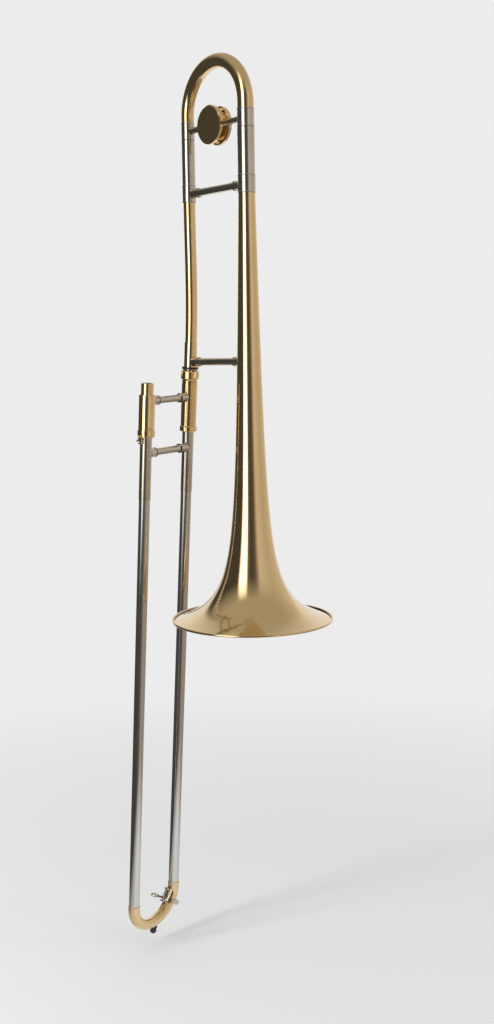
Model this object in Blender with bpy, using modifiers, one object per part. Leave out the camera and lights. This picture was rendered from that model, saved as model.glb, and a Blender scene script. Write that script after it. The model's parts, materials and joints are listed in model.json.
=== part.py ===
"""Tenor trombone, slide closed, mouthpiece off, bell pointing straight down.

The origin is the middle of the bell's mouth and +Z runs up the bell's axis. +X runs from the
neckpipe to the bell. The hand slide hangs from the neckpipe, tilted clear of the bell's rim.
"""

import math

import bmesh
import bpy
from mathutils import Matrix, Vector

# Bell: outline, sheet and rolled rim.
RIM_RADIUS = 0.1016
BELL_LENGTH = 0.522
THROAT_RADIUS = 0.00887
BELL_TAPER = 0.0175
FLARE_DEPTH = 0.0414
FLARE_POWER = 1.65
BELL_SHEET = 0.0006
RIM_WIRE_RADIUS = 0.0008
RIM_WIRE_GAP = 0.0002

# Tuning slide and the joints of the two legs above the bell.
LEG_SPACING = 0.116
FERRULE_LENGTH = 0.0215
SLEEVE_LENGTH = 0.0552
CROOK_STRAIGHT = 0.0065
BELL_LEG_RADIUS = 0.00985
NECK_LEG_RADIUS = 0.0077
CROOK_BELL_RADIUS = 0.0100
CROOK_NECK_RADIUS = 0.0080
CROOK_WALL = 0.0005
LEG_WALL = 0.0004
LEG_STANDOFF = 0.004
SLEEVE_WALL = 0.0005
FERRULE_WALL = 0.00045
TUNING_ROD_RADIUS = 0.0040

# Counterweight on the tuning slide's rod.
WEIGHT_RADIUS = 0.0234
WEIGHT_DISC = 0.0066
WEIGHT_EDGE = 0.0014
WEIGHT_HUB_RADIUS = 0.0165
WEIGHT_HALF_GAP = 0.0036
WEIGHT_SHIFT = 0.003
WEIGHT_SCREW_RADIUS = 0.0015
WEIGHT_SCREW_HEAD = 0.0028
WEIGHT_SCREW_OFFSET = 0.0105

# Neckpipe and its receiver. Depths run down the hand slide's axis from the neck point.
NECK_POINT_HEIGHT = 0.330
NECK_OUTSET = 0.004
SLIDE_TILT = math.radians(5.1)
SLIDE_SWIVEL = math.radians(17)
NECK_RADIUS = 0.00765
NECK_WALL = 0.0005
RECEIVER_TOP = -0.0168
RECEIVER_BOTTOM = 0.0270
RECEIVER_RADIUS = 0.00835
NECK_INSERT = 0.009
THREAD_RADIUS = 0.0090
THREAD_LENGTH = 0.0075
STOP_RING_RADIUS = 0.01075
STOP_RING_LENGTH = 0.0026

# Braces between the bell and the neckpipe.
LOWER_BRACE_DROP = 0.0086
BRACE_RADIUS = 0.0048
BRACE_WALL = 0.0008
SOCKET_WALL = 0.0007
SOCKET_LENGTH = 0.0115
SOCKET_BEAD = 0.0006
SOCKET_BEAD_LENGTH = 0.0016
SADDLE_RADIUS = 0.0092
SADDLE_SHEET = 0.0010

# Lock nut and tenon.
NUT_TOP = 0.0188
NUT_LENGTH = 0.0156
NUT_RADIUS = 0.0119
NUT_LIP = 0.0055
NUT_FLUTES = 8
NUT_FLUTE_RADIUS = 0.0014
TENON_TIP_RADIUS = 0.0070
TENON_ROOT_RADIUS = 0.0075
TENON_SHANK_RADIUS = 0.0079
TENON_FLANGE = 0.0013
TENON_FLANGE_RADIUS = 0.0090
TENON_SOCKET = 0.0175

# Hand slide, inner part.
SLIDE_SPACING = 0.088
BORE_RADIUS = 0.00635
INNER_TUBE_RADIUS = 0.0067
STOCKING_RADIUS = 0.00675
STOCKING_LENGTH = 0.100
INNER_TUBE_END = 0.733
BARREL_RADIUS = 0.0103
BARREL_WALL = 0.0006
BARREL_HEAD = 0.003
BARREL_BEAD_RADIUS = 0.0114
BARREL_BEAD_LENGTH = 0.0068
BARREL_END = 0.0987
MOUTH_BARREL_TOP = 0.0455
MOUTH_RECEIVER_TOP = 0.0315
MOUTH_RECEIVER_RADIUS = 0.0080
MOUTH_RECEIVER_INSERT = 0.016
LEADPIPE_RADIUS = 0.0062
LEADPIPE_TIP_WALL = 0.0006
LEADPIPE_END_WALL = 0.0004
LEADPIPE_LENGTH = 0.215
LEADPIPE_RECESS = 0.0015
CORK_LENGTH = 0.008
CORK_DEPTH = 0.0288
INNER_BRACE_DEPTH = 0.0540
GRIP_RADIUS = 0.0047

# Slide lock ring and its stud.
LOCK_RING_RADIUS = 0.01125
LOCK_RING_LENGTH = 0.0075
LOCK_LIP = 0.0008
LOCK_HOOK_DROP = 0.0080
LOCK_HOOK_WIDTH = 0.0052
LOCK_HOOK_RADIAL = 0.0128
LOCK_KNOB_RADIUS = 0.0021
STUD_RADIUS = 0.0013
STUD_REACH = 0.0123
STUD_DROP = 0.0050
STUD_ANGLE = math.radians(-40)
LOCK_SLOT_DEPTH = 0.0034

# Hand slide, outer part.
OUTER_TUBE_WALL = 0.0004
OUTER_SLEEVE_WALL = 0.00025
OUTER_SLEEVE_END = 0.179
OUTER_BRACE_DEPTH = 0.1200
GRIP_FLANGE_RADIUS = 0.0072
SLIDE_SEAM = 0.7408
BOW_SOCKET = 0.0050
BOW_DEPTH = 0.0375
BOW_WALL = 0.0005

# Rubber bumper below the bow.
BUMPER_LENGTH = 0.0108
BUMPER_RADIUS = 0.0046
BUMPER_RIM_RADIUS = 0.0054
BUMPER_RIM = 0.0022
BUMPER_PEG_RADIUS = 0.0016
BUMPER_PEG_LENGTH = 0.0065

# Water key, in the bow's cross section at KEY_ANGLE round the bow.
KEY_ANGLE = math.radians(28)
KEY_HINGE_RADIUS = 0.0126
KEY_HINGE_TURN = math.radians(-15)
KEY_PAD_TURN = math.radians(85)
KEY_PIN_RADIUS = 0.0011
KEY_BARREL_RADIUS = 0.0023
KEY_BARREL_LENGTH = 0.0066
KEY_ARM_THICKNESS = 0.0016
KEY_ARM_WIDTH = 0.0050
KEY_FINGER_LENGTH = 0.0310
KEY_FINGER_PAD = 0.0150
KEY_FINGER_RADIUS = 0.0030
KEY_STEM_RADIUS = 0.0016
KEY_NIPPLE_RADIUS = 0.0030
KEY_NIPPLE_BORE = 0.0018
KEY_NIPPLE_HEIGHT = 0.0021
KEY_CORK_RADIUS = 0.0032
KEY_CORK_THICKNESS = 0.0020
KEY_CUP_RADIUS = 0.0038
KEY_CUP_THICKNESS = 0.0010
SADDLE_LENGTH = 0.0188
SADDLE_WIDTH = 0.0056
SADDLE_BASE = 0.0017
SADDLE_LUG = 0.0016
SPRING_WIRE = 0.00035
SPRING_RADIUS = 0.0021
SPRING_CURLS = 5
SPRING_CURL_POINTS = 9

# Clearances.
SOLDER_GAP = 0.00015
SLIDE_GAP = 0.0001
SEAT_GAP = 0.0003

# Facets round a turned piece.
TUBE_STEPS = 20
BELL_STEPS = 40
DISC_STEPS = 32
SMALL_STEPS = 12

# Heights that follow from the sizes above.
FERRULE_HALF = 0.5 * (FERRULE_LENGTH - SEAT_GAP)
FERRULE_TOP = BELL_LENGTH + FERRULE_LENGTH
SLEEVE_TOP = FERRULE_TOP + SLEEVE_LENGTH
CROOK_FERRULE_BOTTOM = SLEEVE_TOP + SEAT_GAP
CROOK_FERRULE_TOP = CROOK_FERRULE_BOTTOM + FERRULE_LENGTH
CROOK_CENTRE = CROOK_FERRULE_TOP + CROOK_STRAIGHT
UPPER_BRACE_HEIGHT = BELL_LENGTH + 0.5 * FERRULE_LENGTH
LOWER_BRACE_HEIGHT = NECK_POINT_HEIGHT - LOWER_BRACE_DROP
TUNING_BRACE_HEIGHT = CROOK_FERRULE_BOTTOM + 0.5 * FERRULE_LENGTH

# Radii and depths that follow from the sizes above.
BELL_SLEEVE_BORE = BELL_LEG_RADIUS + SLIDE_GAP
NECK_SLEEVE_BORE = NECK_LEG_RADIUS + SLIDE_GAP
BELL_SLEEVE_RADIUS = BELL_SLEEVE_BORE + SLEEVE_WALL
NECK_SLEEVE_RADIUS = NECK_SLEEVE_BORE + SLEEVE_WALL
BELL_FERRULE_RADIUS = BELL_SLEEVE_RADIUS + SOLDER_GAP + FERRULE_WALL
NECK_FERRULE_RADIUS = NECK_SLEEVE_RADIUS + SOLDER_GAP + FERRULE_WALL
CROOK_BELL_FERRULE_RADIUS = CROOK_BELL_RADIUS + SOLDER_GAP + FERRULE_WALL
CROOK_NECK_FERRULE_RADIUS = CROOK_NECK_RADIUS + SOLDER_GAP + FERRULE_WALL
SOCKET_RADIUS = BRACE_RADIUS + SOLDER_GAP + SOCKET_WALL
GRIP_SOCKET_RADIUS = GRIP_RADIUS + SOLDER_GAP + SOCKET_WALL
NUT_BOTTOM = NUT_TOP + NUT_LENGTH
FLANGE_TOP = RECEIVER_BOTTOM + SEAT_GAP
FLANGE_BOTTOM = FLANGE_TOP + TENON_FLANGE
NUT_LIP_TOP = FLANGE_BOTTOM + SEAT_GAP
NUT_BORE = max(THREAD_RADIUS, TENON_FLANGE_RADIUS) + SEAT_GAP
BARREL_TOP = NUT_BOTTOM + SEAT_GAP
BARREL_BORE = BARREL_RADIUS - BARREL_WALL
TENON_END = BARREL_TOP + TENON_SOCKET + SEAT_GAP
TENON_SEAT = TENON_END - TENON_SOCKET
MOUTH_RECEIVER_END = MOUTH_BARREL_TOP + MOUTH_RECEIVER_INSERT
TUBE_SOCKET_BORE = INNER_TUBE_RADIUS + SOLDER_GAP
OUTER_BORE = STOCKING_RADIUS + SLIDE_GAP
OUTER_TUBE_RADIUS = OUTER_BORE + OUTER_TUBE_WALL
OUTER_SLEEVE_BORE = OUTER_TUBE_RADIUS + SOLDER_GAP
OUTER_SLEEVE_RADIUS = OUTER_SLEEVE_BORE + OUTER_SLEEVE_WALL
CORK_BOTTOM = BARREL_END - CORK_DEPTH + CORK_LENGTH
OUTER_TUBE_TOP = CORK_BOTTOM + SEAT_GAP
OUTER_TUBE_END = SLIDE_SEAM + BOW_SOCKET - 5 * SEAT_GAP
BOW_RADIUS = OUTER_TUBE_RADIUS + SOLDER_GAP + BOW_WALL
BOW_START = SLIDE_SEAM + BOW_SOCKET
BOW_BOTTOM = BOW_START + BOW_DEPTH + BOW_RADIUS
RING_TOP = BARREL_END - LOCK_RING_LENGTH - LOCK_LIP - SEAT_GAP
LOCK_SPIGOT_RADIUS = BARREL_BORE + 0.5 * BARREL_WALL
LOCK_RING_BORE = LOCK_SPIGOT_RADIUS + SEAT_GAP
STUD_DEPTH = BARREL_END + STUD_DROP

for stale in list(bpy.data.objects):
    bpy.data.objects.remove(stale, do_unlink=True)


def collection(name, hidden=False):
    made = bpy.data.collections.new(name)
    bpy.context.scene.collection.children.link(made)
    made.hide_render = hidden
    return made


TROMBONE = collection("TenorTrombone")
CUTTERS = collection("Cutters", hidden=True)


def finish(name, colour, roughness, metallic):
    made = bpy.data.materials.new(name)
    made.use_nodes = True
    shader = made.node_tree.nodes["Principled BSDF"]
    shader.inputs["Base Color"].default_value = (*colour, 1)
    shader.inputs["Roughness"].default_value = roughness
    shader.inputs["Metallic"].default_value = metallic
    return made


BRASS = finish("lacquered brass", (0.80, 0.56, 0.24), 0.12, 1)
NICKEL = finish("nickel silver", (0.66, 0.61, 0.55), 0.16, 1)
CHROME = finish("plated tube", (0.72, 0.70, 0.68), 0.08, 1)
RUBBER = finish("black rubber", (0.02, 0.02, 0.02), 0.6, 0)
CORK = finish("cork", (0.50, 0.32, 0.15), 0.85, 0)
STEEL = finish("screw steel", (0.45, 0.44, 0.42), 0.3, 1)


def frame_empty(name, matrix, parent=None):
    """An empty that marks a joint's axis or a local frame."""
    empty = bpy.data.objects.new(name, None)
    TROMBONE.objects.link(empty)
    empty.empty_display_size = 0.02
    empty.parent = parent
    empty.matrix_local = matrix
    return empty


def place(obj, parent, at=(0, 0, 0), turn=(0, 0, 0)):
    obj.parent = parent
    obj.location = at
    obj.rotation_euler = turn
    return obj


def mesh_object(name, bm, material, group=TROMBONE):
    data = bpy.data.meshes.new(name)
    bm.to_mesh(data)
    bm.free()
    obj = bpy.data.objects.new(name, data)
    group.objects.link(obj)
    if material:
        data.materials.append(material)
    if group is CUTTERS:
        obj.hide_render = True
        obj.display_type = "WIRE"
    return obj


def turned(name, profile, material, steps=TUBE_STEPS, group=TROMBONE):
    """Turn (radius, height) points about Z: down the outside, then up the inside or the axis."""
    bm = bmesh.new()
    points = [bm.verts.new((radius, 0, height)) for radius, height in profile]
    on_axis = profile[0][0] == 0 and profile[-1][0] == 0
    for first, second in zip(points, points[1:]):
        bm.edges.new((first, second))
    if not on_axis:
        bm.edges.new((points[-1], points[0]))
    obj = mesh_object(name, bm, material, group)
    screw = obj.modifiers.new("Turn", "SCREW")
    screw.axis = "Z"
    screw.steps = steps
    screw.render_steps = steps
    screw.use_merge_vertices = True
    screw.merge_threshold = 0.00001
    return obj


def tube(name, radius, bore, top, bottom, material, steps=TUBE_STEPS, group=TROMBONE):
    """A straight tube, with its top and bottom given as heights."""
    profile = [(radius, top), (radius, bottom), (bore, bottom), (bore, top)]
    return turned(name, profile, material, steps, group)


def rod(name, radius, top, bottom, material, steps=TUBE_STEPS, group=TROMBONE):
    profile = [(0, top), (radius, top), (radius, bottom), (0, bottom)]
    return turned(name, profile, material, steps, group)


def box(name, low, high, group=CUTTERS, material=None):
    """A box between two corners."""
    bm = bmesh.new()
    bmesh.ops.create_cube(bm, size=1)
    size = Vector(high) - Vector(low)
    middle = (Vector(high) + Vector(low)) / 2
    bmesh.ops.scale(bm, vec=size, verts=bm.verts)
    bmesh.ops.translate(bm, vec=middle, verts=bm.verts)
    return mesh_object(name, bm, material, group)


def combine(obj, other, operation):
    boolean = obj.modifiers.new(operation.title(), "BOOLEAN")
    boolean.operation = operation
    boolean.solver = "EXACT"
    boolean.object = other
    return obj


def cut(obj, *cutters):
    for cutter in cutters:
        combine(obj, cutter, "DIFFERENCE")
    return obj


def swept(name, points, radii, material, wall=0, resolution=8, group=TROMBONE):
    """A tube along points in order, whose radius may change, made a mesh with welded caps."""
    curve = bpy.data.curves.new(name, "CURVE")
    curve.dimensions = "3D"
    curve.bevel_depth = max(radii)
    curve.bevel_resolution = resolution
    curve.use_fill_caps = wall == 0
    spline = curve.splines.new("POLY")
    spline.points.add(len(points) - 1)
    for target, point, radius in zip(spline.points, points, radii):
        target.co = (*point, 1)
        target.radius = radius / max(radii)
    line = bpy.data.objects.new(name, curve)
    group.objects.link(line)
    graph = bpy.context.evaluated_depsgraph_get()
    data = bpy.data.meshes.new_from_object(line.evaluated_get(graph))
    bpy.data.objects.remove(line, do_unlink=True)
    bm = bmesh.new()
    bm.from_mesh(data)
    bmesh.ops.remove_doubles(bm, verts=bm.verts, dist=0.000001)
    bmesh.ops.recalc_face_normals(bm, faces=bm.faces)
    bpy.data.meshes.remove(data)
    obj = mesh_object(name, bm, material, group)
    if wall:
        solidify = obj.modifiers.new("Wall", "SOLIDIFY")
        solidify.thickness = wall
        solidify.offset = -1
        solidify.use_even_offset = True
    return obj


def arc(centre, radius, start, end, count):
    """Points (x, y) on an arc, both ends included."""
    steps = [start + (end - start) * index / (count - 1) for index in range(count)]
    return [(centre[0] + radius * math.cos(a), centre[1] + radius * math.sin(a)) for a in steps]


def sheet_profile(line, thickness):
    """The closed outline of a bent sheet whose middle line is given from one end to the other."""
    outer = []
    inner = []
    for index, point in enumerate(line):
        before = Vector(line[max(index - 1, 0)])
        after = Vector(line[min(index + 1, len(line) - 1)])
        along = (after - before).normalized()
        side = Vector((-along.y, along.x)) * thickness / 2
        outer.append(tuple(Vector(point) + side))
        inner.append(tuple(Vector(point) - side))
    return outer + inner[::-1]


# Bell section.

BEAD_RADIUS = RIM_WIRE_RADIUS + RIM_WIRE_GAP + BELL_SHEET
BEAD_CENTRE = (RIM_RADIUS - BEAD_RADIUS, BEAD_RADIUS * math.cos(math.radians(18)))
SHEET_TURN_RADIUS = BEAD_RADIUS - BELL_SHEET / 2
BEAD_START = math.radians(-108)
EDGE_RADIUS = BEAD_CENTRE[0] + SHEET_TURN_RADIUS * math.cos(BEAD_START)
EDGE_HEIGHT = BEAD_CENTRE[1] + SHEET_TURN_RADIUS * math.sin(BEAD_START)
FLARE_SCALE = (EDGE_RADIUS - THROAT_RADIUS - BELL_TAPER * BELL_LENGTH) * FLARE_DEPTH**FLARE_POWER


def bell_middle_radius(height):
    """Radius of the bell sheet's middle, at a height above the rim's edge."""
    above = height - EDGE_HEIGHT
    flare = FLARE_SCALE * (above + FLARE_DEPTH) ** -FLARE_POWER
    return THROAT_RADIUS + BELL_TAPER * (BELL_LENGTH - above) + flare


def bell_radius(height):
    return bell_middle_radius(height) + BELL_SHEET / 2


def bell_section():
    base = frame_empty("bell_section_frame", Matrix())
    tail = BELL_LENGTH + FERRULE_HALF
    heights = [tail]
    share = 0.72
    while heights[-1] > 0.010:
        heights.append(heights[-1] * share)
    heights.append(0.0035)
    line = [(bell_middle_radius(height), height) for height in heights]
    line += arc(BEAD_CENTRE, SHEET_TURN_RADIUS, BEAD_START, math.radians(144), 8)
    place(turned("bell", sheet_profile(line, BELL_SHEET), BRASS, BELL_STEPS), base)
    wire = [(x, z) for x, z in arc(BEAD_CENTRE, RIM_WIRE_RADIUS, math.pi, -math.pi, 7)][:-1]
    place(turned("rim_wire", wire, STEEL, BELL_STEPS), base)

    tail_bore = bell_radius(BELL_LENGTH) + SOLDER_GAP
    for name, x, radius, low_bore, sleeve_radius, sleeve_bore in (
        ("bell", 0, BELL_FERRULE_RADIUS, tail_bore, BELL_SLEEVE_RADIUS, BELL_SLEEVE_BORE),
        ("neck", -LEG_SPACING, NECK_FERRULE_RADIUS, NECK_RADIUS + SOLDER_GAP,
         NECK_SLEEVE_RADIUS, NECK_SLEEVE_BORE),
    ):
        high_bore = sleeve_radius + SOLDER_GAP
        step = FERRULE_TOP - FERRULE_HALF
        ferrule = [
            (radius, FERRULE_TOP), (radius, BELL_LENGTH), (low_bore, BELL_LENGTH),
            (low_bore, step - SEAT_GAP / 2), (high_bore, step - SEAT_GAP / 2),
            (high_bore, FERRULE_TOP),
        ]
        place(turned(name + "_ferrule", ferrule, NICKEL), base, (x, 0, 0))
        sleeve = tube("tuning_sleeve_" + name, sleeve_radius, sleeve_bore, SLEEVE_TOP, step, NICKEL)
        place(sleeve, base, (x, 0, 0))
    return base


def gooseneck(base, slide_frame):
    """The neckpipe: upright in its ferrule, then bent to meet the hand slide's axis."""
    tilt_down = Vector((-math.sin(SLIDE_TILT), 0, -math.cos(SLIDE_TILT)))
    neck_point = Vector((-LEG_SPACING - NECK_OUTSET, 0, NECK_POINT_HEIGHT))
    top = Vector((-LEG_SPACING, 0, BELL_LENGTH + FERRULE_HALF))
    start = Vector((-LEG_SPACING, 0, BELL_LENGTH - 0.004))
    end = neck_point + tilt_down * (RECEIVER_TOP - 0.003)
    last = neck_point + tilt_down * (RECEIVER_TOP + NECK_INSERT)
    reach = (end - start).length
    points = [top]
    for index in range(11):
        share = index / 10
        blend = 3 * share**2 - 2 * share**3
        leave = (share**3 - 2 * share**2 + share) * reach
        arrive = (share**3 - share**2) * reach
        points.append(start * (1 - blend) + end * blend + Vector((0, 0, -leave)) + tilt_down * arrive)
    points.append(last)
    place(swept("gooseneck", points, [NECK_RADIUS] * len(points), BRASS, NECK_WALL), base)

    bore = NECK_RADIUS + SOLDER_GAP
    step = RECEIVER_TOP + NECK_INSERT + SEAT_GAP
    thread_top = RECEIVER_BOTTOM - THREAD_LENGTH
    receiver = [
        (RECEIVER_RADIUS, -RECEIVER_TOP), (RECEIVER_RADIUS, -thread_top),
        (THREAD_RADIUS, -thread_top), (THREAD_RADIUS, -RECEIVER_BOTTOM),
        (TENON_ROOT_RADIUS + SEAT_GAP, -RECEIVER_BOTTOM), (TENON_TIP_RADIUS + SEAT_GAP, -step),
        (bore, -step), (bore, -RECEIVER_TOP),
    ]
    place(turned("neck_receiver", receiver, BRASS), slide_frame)
    brace_depth = (NECK_POINT_HEIGHT - LOWER_BRACE_HEIGHT) / math.cos(SLIDE_TILT)
    ring_top = brace_depth + SOCKET_RADIUS + SOCKET_BEAD + SEAT_GAP
    ring = tube("stop_ring", STOP_RING_RADIUS, RECEIVER_RADIUS + SOLDER_GAP, -ring_top,
                -ring_top - STOP_RING_LENGTH, RUBBER)
    place(ring, slide_frame)


def socket_profile(host, rod_radius, length, flare=0.0):
    """A brace socket along its own axis: from inside the host out to a bead at its mouth."""
    radius = rod_radius + SOLDER_GAP + SOCKET_WALL
    bore = rod_radius + SOLDER_GAP
    foot = host * 0.55
    mouth = host + length
    bead = mouth - SOCKET_BEAD_LENGTH
    return [
        (bore, mouth), (radius + SOCKET_BEAD, mouth), (radius + SOCKET_BEAD, bead), (radius, bead),
        (radius, host + 0.35 * length), (radius + flare, host), (radius + flare, foot), (bore, foot),
    ]


def host_cutter(name, radius, length, parent, at):
    """A round cutter a little larger than the tube that a socket is shaped to."""
    cutter = rod(name, radius + SEAT_GAP, length, -length, None, 40, CUTTERS)
    return place(cutter, parent, at)


def brace(name, frame, hosts, rod_radius, cutters, flares=(0.0, 0.0)):
    """A rod between two hosts along the frame's Z axis, with a socket at each host.

    Each host is (name, height of its middle, radius), the lower one first.
    """
    (low_name, low, low_radius), (high_name, high, high_radius) = hosts
    end_gap = 4 * SEAT_GAP
    rod_name = name + "_rod"
    place(tube(rod_name, rod_radius, rod_radius - BRACE_WALL, high - high_radius - end_gap,
               low + low_radius + end_gap, NICKEL, 16), frame)
    for end, at, radius, turn, cutter, flare in (
        (low_name, low, low_radius, 0, cutters[0], flares[0]),
        (high_name, high, high_radius, math.pi, cutters[1], flares[1]),
    ):
        profile = socket_profile(radius, rod_radius, SOCKET_LENGTH, flare)
        socket = turned(name + "_socket_" + end, profile, NICKEL, 16)
        place(socket, frame, (0, 0, at), (turn, 0, 0))
        cut(socket, cutter)


def bell_braces(base, slide_frame):
    along_x = Matrix.Rotation(math.pi / 2, 4, "Y")
    upper = frame_empty(
        "upper_brace_frame", Matrix.Translation((-LEG_SPACING, 0, UPPER_BRACE_HEIGHT)) @ along_x, base)
    cutters = (
        host_cutter("cut_neck_ferrule", NECK_FERRULE_RADIUS, 0.03, base,
                    (-LEG_SPACING, 0, UPPER_BRACE_HEIGHT)),
        host_cutter("cut_bell_ferrule", BELL_FERRULE_RADIUS, 0.03, base, (0, 0, UPPER_BRACE_HEIGHT)),
    )
    hosts = (("neck", 0, NECK_FERRULE_RADIUS), ("bell", LEG_SPACING, BELL_FERRULE_RADIUS))
    brace("upper_brace", upper, hosts, BRACE_RADIUS, cutters)

    below = LOWER_BRACE_HEIGHT - NECK_POINT_HEIGHT
    axis_x = -LEG_SPACING - NECK_OUTSET + below * math.tan(SLIDE_TILT)
    lower = frame_empty(
        "lower_brace_frame", Matrix.Translation((axis_x, 0, LOWER_BRACE_HEIGHT)) @ along_x, base)
    high = LOWER_BRACE_HEIGHT + SADDLE_RADIUS + SEAT_GAP
    low = LOWER_BRACE_HEIGHT - SADDLE_RADIUS - SEAT_GAP
    skin = [(bell_radius(high), high), (bell_radius(low), low)]
    near = [(radius + SEAT_GAP, height) for radius, height in skin]
    far = [(radius + SEAT_GAP + SADDLE_SHEET, height) for radius, height in skin]
    clear = [(radius + SEAT_GAP, height) for radius, height in far]
    solid_far = [(0, high)] + clear + [(0, low)]
    outer_skin = place(turned("cut_bell_saddle", solid_far, None, BELL_STEPS, CUTTERS), base)
    receiver_cut = host_cutter("cut_receiver", RECEIVER_RADIUS, 0.03, slide_frame, (0, 0, below))
    bell_host = bell_radius(LOWER_BRACE_HEIGHT) + SEAT_GAP + SADDLE_SHEET
    hosts = (("neck", 0, RECEIVER_RADIUS), ("bell", -axis_x, bell_host))
    brace("lower_brace", lower, hosts, BRACE_RADIUS, (receiver_cut, outer_skin))

    plate = turned("lower_brace_flange", far + near[::-1], NICKEL, BELL_STEPS)
    place(plate, base)
    disc = rod("keep_saddle", SADDLE_RADIUS, bell_host + 0.01, 0.004, None, 32, CUTTERS)
    place(disc, base, (0, 0, LOWER_BRACE_HEIGHT), (0, -math.pi / 2, 0))
    combine(plate, disc, "INTERSECT")


# Tuning slide.

def tuning_slide():
    base = frame_empty("tuning_slide_frame", Matrix())
    middle = CROOK_FERRULE_BOTTOM + FERRULE_HALF
    half = LEG_SPACING / 2
    points = [Vector((0, 0, middle + SEAT_GAP)), Vector((0, 0, CROOK_CENTRE - 0.003))]
    bend = arc((-half, CROOK_CENTRE), half, 0, math.pi, 17)
    points += [Vector((x, 0, z)) for x, z in bend]
    points += [Vector((-LEG_SPACING, 0, CROOK_CENTRE - 0.003))]
    points += [Vector((-LEG_SPACING, 0, middle + SEAT_GAP))]
    last = len(points) - 1
    radii = []
    for index in range(len(points)):
        share = min(max((index - 1) / (last - 2), 0), 1)
        radii.append(CROOK_BELL_RADIUS + (CROOK_NECK_RADIUS - CROOK_BELL_RADIUS) * share)
    place(swept("tuning_crook", points, radii, BRASS, CROOK_WALL), base)

    leg_end = BELL_LENGTH + FERRULE_HALF + LEG_STANDOFF
    for name, x, radius, crook_radius, leg_radius in (
        ("bell", 0, CROOK_BELL_FERRULE_RADIUS, CROOK_BELL_RADIUS, BELL_LEG_RADIUS),
        ("neck", -LEG_SPACING, CROOK_NECK_FERRULE_RADIUS, CROOK_NECK_RADIUS, NECK_LEG_RADIUS),
    ):
        high_bore = crook_radius + SOLDER_GAP
        low_bore = leg_radius + SOLDER_GAP
        ferrule = [
            (radius, CROOK_FERRULE_TOP), (radius, CROOK_FERRULE_BOTTOM),
            (low_bore, CROOK_FERRULE_BOTTOM), (low_bore, middle + SEAT_GAP / 2),
            (high_bore, middle + SEAT_GAP / 2), (high_bore, CROOK_FERRULE_TOP),
        ]
        place(turned("crook_ferrule_" + name, ferrule, NICKEL), base, (x, 0, 0))
        leg = tube("tuning_leg_" + name, leg_radius, leg_radius - LEG_WALL, middle, leg_end, NICKEL)
        place(leg, base, (x, 0, 0))
    tuning_rod(base)
    counterweight(base)
    return base


def tuning_rod(base):
    """The rod between the crook's ferrules, flared where it meets them."""
    neck_face = -LEG_SPACING + CROOK_NECK_FERRULE_RADIUS
    bell_face = -CROOK_BELL_FERRULE_RADIUS
    flare = TUNING_ROD_RADIUS + 0.0012
    bore = TUNING_ROD_RADIUS - BRACE_WALL
    profile = [
        (flare, bell_face + 0.006), (TUNING_ROD_RADIUS, bell_face - 0.003),
        (TUNING_ROD_RADIUS, neck_face + 0.003), (flare, neck_face - 0.005),
        (bore, neck_face - 0.005), (bore, bell_face + 0.006),
    ]
    piece = turned("tuning_brace_rod", profile, NICKEL, 16)
    place(piece, base, (0, 0, TUNING_BRACE_HEIGHT), (0, math.pi / 2, 0))
    cut(piece,
        host_cutter("cut_crook_ferrule_neck", CROOK_NECK_FERRULE_RADIUS, 0.03, base,
                    (-LEG_SPACING, 0, TUNING_BRACE_HEIGHT)),
        host_cutter("cut_crook_ferrule_bell", CROOK_BELL_FERRULE_RADIUS, 0.03, base,
                    (0, 0, TUNING_BRACE_HEIGHT)))


def counterweight(base):
    """Two discs clamped over the rod by two screws from behind."""
    centre = (-LEG_SPACING / 2 - WEIGHT_SHIFT, 0, TUNING_BRACE_HEIGHT)
    along_y = Matrix.Rotation(math.pi / 2, 4, "X")
    frame = frame_empty("counterweight_frame", Matrix.Translation(centre) @ along_y, base)
    face = WEIGHT_HALF_GAP + WEIGHT_DISC
    profile = [
        (0, face), (WEIGHT_RADIUS - WEIGHT_EDGE, face), (WEIGHT_RADIUS, face - WEIGHT_EDGE),
        (WEIGHT_RADIUS, WEIGHT_HALF_GAP + WEIGHT_EDGE), (WEIGHT_RADIUS - WEIGHT_EDGE, WEIGHT_HALF_GAP),
        (WEIGHT_HUB_RADIUS, WEIGHT_HALF_GAP), (WEIGHT_HUB_RADIUS, SEAT_GAP / 2), (0, SEAT_GAP / 2),
    ]
    groove = rod("cut_rod_groove", TUNING_ROD_RADIUS + SOLDER_GAP, 0.04, -0.04, None, 16, CUTTERS)
    place(groove, frame, (0, 0, 0), (0, math.pi / 2, 0))
    holes = []
    for side, sign in (("upper", 1), ("lower", -1)):
        hole = rod("cut_screw_hole_" + side, WEIGHT_SCREW_RADIUS + SOLDER_GAP,
                   WEIGHT_HALF_GAP + 0.003, -face - 0.01, None, SMALL_STEPS, CUTTERS)
        holes.append(place(hole, frame, (0, sign * WEIGHT_SCREW_OFFSET, 0)))
        screw = [
            (0, WEIGHT_HALF_GAP + 0.0025), (WEIGHT_SCREW_RADIUS, WEIGHT_HALF_GAP + 0.0025),
            (WEIGHT_SCREW_RADIUS, -face - SEAT_GAP), (WEIGHT_SCREW_HEAD, -face - SEAT_GAP),
            (WEIGHT_SCREW_HEAD * 0.85, -face - 0.0018), (0, -face - 0.0018),
        ]
        piece = turned("counterweight_screw_" + side, screw, STEEL, SMALL_STEPS)
        place(piece, frame, (0, sign * WEIGHT_SCREW_OFFSET, 0))
    for side, turn in (("front", 0), ("rear", math.pi)):
        disc = turned("counterweight_" + side, profile, BRASS, DISC_STEPS)
        place(disc, frame, (0, 0, 0), (turn, 0, math.radians(4)))
        cut(disc, groove, *holes)


# Hand slide, inner part.

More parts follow.
